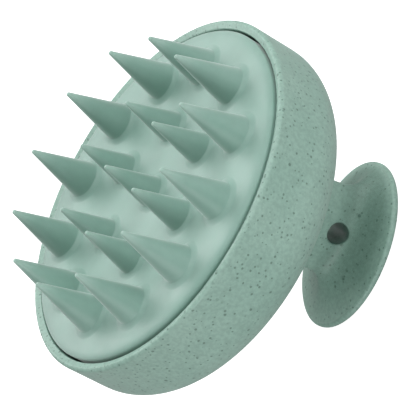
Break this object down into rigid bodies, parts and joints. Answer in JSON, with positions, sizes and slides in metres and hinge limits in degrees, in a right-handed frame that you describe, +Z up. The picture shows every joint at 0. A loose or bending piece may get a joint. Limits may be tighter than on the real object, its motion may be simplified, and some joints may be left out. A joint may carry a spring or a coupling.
{
  "type": "scalp massager brush",
  "caption": "Round hand-held scalp massager with a dished silicone pad of tapering bristles, a cup-shaped shell and a waisted neck ending in an oval finger knob with a hanging hole.",
  "frame": {"origin": "centre of the flat back of the finger knob, on which the brush stands", "axes": "+Z up from the knob along the handle; the head's bristle axis leans 10.1 degrees from +Z towards +X; the hanging hole runs along Y"},
  "size_m": [0.0812, 0.0806, 0.0703],
  "materials": {
    "speckled_plastic": "matte mint green straw-filled plastic with fine dark specks",
    "silicone": "satin mint green silicone",
    "inner_plastic": "satin moulded plastic",
    "screw_steel": "plain zinc-plated steel"
  },
  "bodies": {
    "brush_body": {"head_shell": "speckled_plastic", "handle": "speckled_plastic", "handle_screws": "screw_steel"},
    "pad_cartridge": {"bristle_pad": "silicone", "pad_carrier": "inner_plastic"}
  },
  "joints": [
    {"name": "pad_lift", "type": "slide", "parent": "brush_body", "child": "pad_cartridge", "axis": [0.1754, 0, 0.9845], "range_m": [0, 0.03]}
  ]
}
